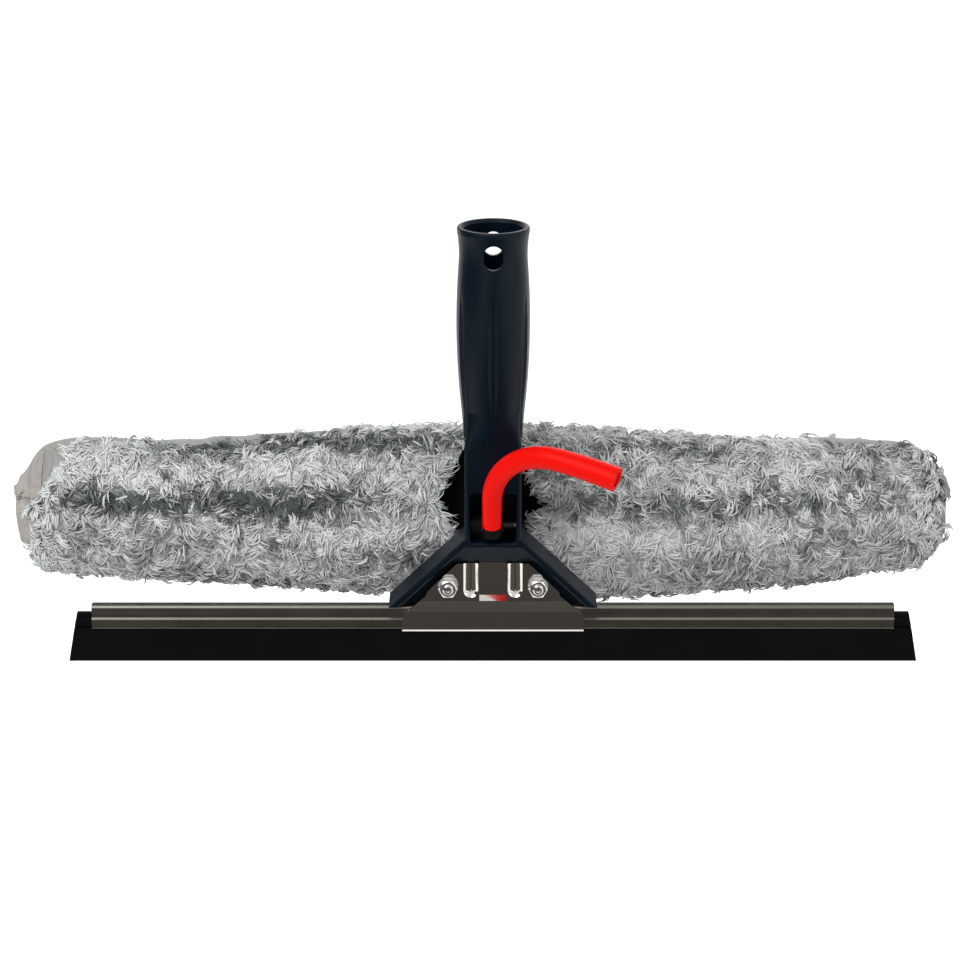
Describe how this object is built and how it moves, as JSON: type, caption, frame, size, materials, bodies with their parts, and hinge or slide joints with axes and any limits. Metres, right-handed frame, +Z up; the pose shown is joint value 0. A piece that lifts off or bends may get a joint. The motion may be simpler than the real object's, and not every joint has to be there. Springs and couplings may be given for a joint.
{
  "type": "window washer and squeegee head",
  "caption": "Window washer and squeegee on one pole handle: spring lever clamp, steel channel with rubber blade, and a fibre sleeve on a bar behind.",
  "frame": {"origin": "centre of the pole socket's mouth, at the upper end of its straight wall", "axes": "+Z up out of the pole socket, +X along the blade, -Y towards the blade side and +Y towards the washer side"},
  "size_m": [0.4568, 0.1347, 0.2137],
  "materials": {
    "handle_plastic": "satin moulded nylon, blue black",
    "hub_plastic": "satin moulded nylon, black",
    "bar_plastic": "matt moulded, black",
    "polished_steel": "bright polished stainless sheet",
    "channel_steel": "drawn stainless, semi bright",
    "zinc_steel": "zinc plated",
    "spring_steel": "bright spring wire and strip",
    "black_rubber": "soft natural rubber, black",
    "red_vinyl": "glossy dipped vinyl, red",
    "grey_fibre": "deep fibre pile, pale grey with darker streaks",
    "plain_cloth": "plain woven backing cloth",
    "closure_tape": "touch closure tape, black"
  },
  "bodies": {
    "handle": {"handle_body": "handle_plastic", "clamp_bolts": "zinc_steel", "clamp_washers": "zinc_steel", "clamp_nuts": "zinc_steel", "lever_pin": "zinc_steel", "lever_spring": "spring_steel", "t_bar": "bar_plastic", "t_bar_screws": "zinc_steel", "washer_sleeve": "grey_fibre", "sleeve_end_left": "plain_cloth", "sleeve_end_right": "plain_cloth", "closure_loop": "closure_tape", "closure_hook": "closure_tape"},
    "release_lever": {"lever_hub": "hub_plastic", "lever_rod": "zinc_steel", "lever_grip": "red_vinyl", "rod_roll_pin": "spring_steel"},
    "clamp": {"clamp_plate": "polished_steel"},
    "squeegee": {"channel": "channel_steel", "rubber_blade": "black_rubber", "end_clip_left": "spring_steel", "end_clip_right": "spring_steel"}
  },
  "joints": [
    {"name": "lever_hinge", "type": "hinge", "parent": "handle", "child": "release_lever", "pos_m": [0, -0.005, -0.1435], "axis": [1, 0, 0], "range_deg": [0, 20], "stiffness_Nm_per_rad": 0.4, "springref_deg": -34.38, "deforming": ["lever_spring"]},
    {"name": "plate_tilt", "type": "hinge", "parent": "handle", "child": "clamp", "pos_m": [0, -0.01045, -0.1722], "axis": [1, 0, 0], "range_deg": [-2.6, 0]},
    {"name": "blade_slide", "type": "slide", "parent": "handle", "child": "squeegee", "axis": [1, 0, 0], "range_m": [-0.14, 0.14]}
  ],
  "couplings": [
    {"joint": "plate_tilt", "follows": "lever_hinge", "ratio": -0.125}
  ]
}
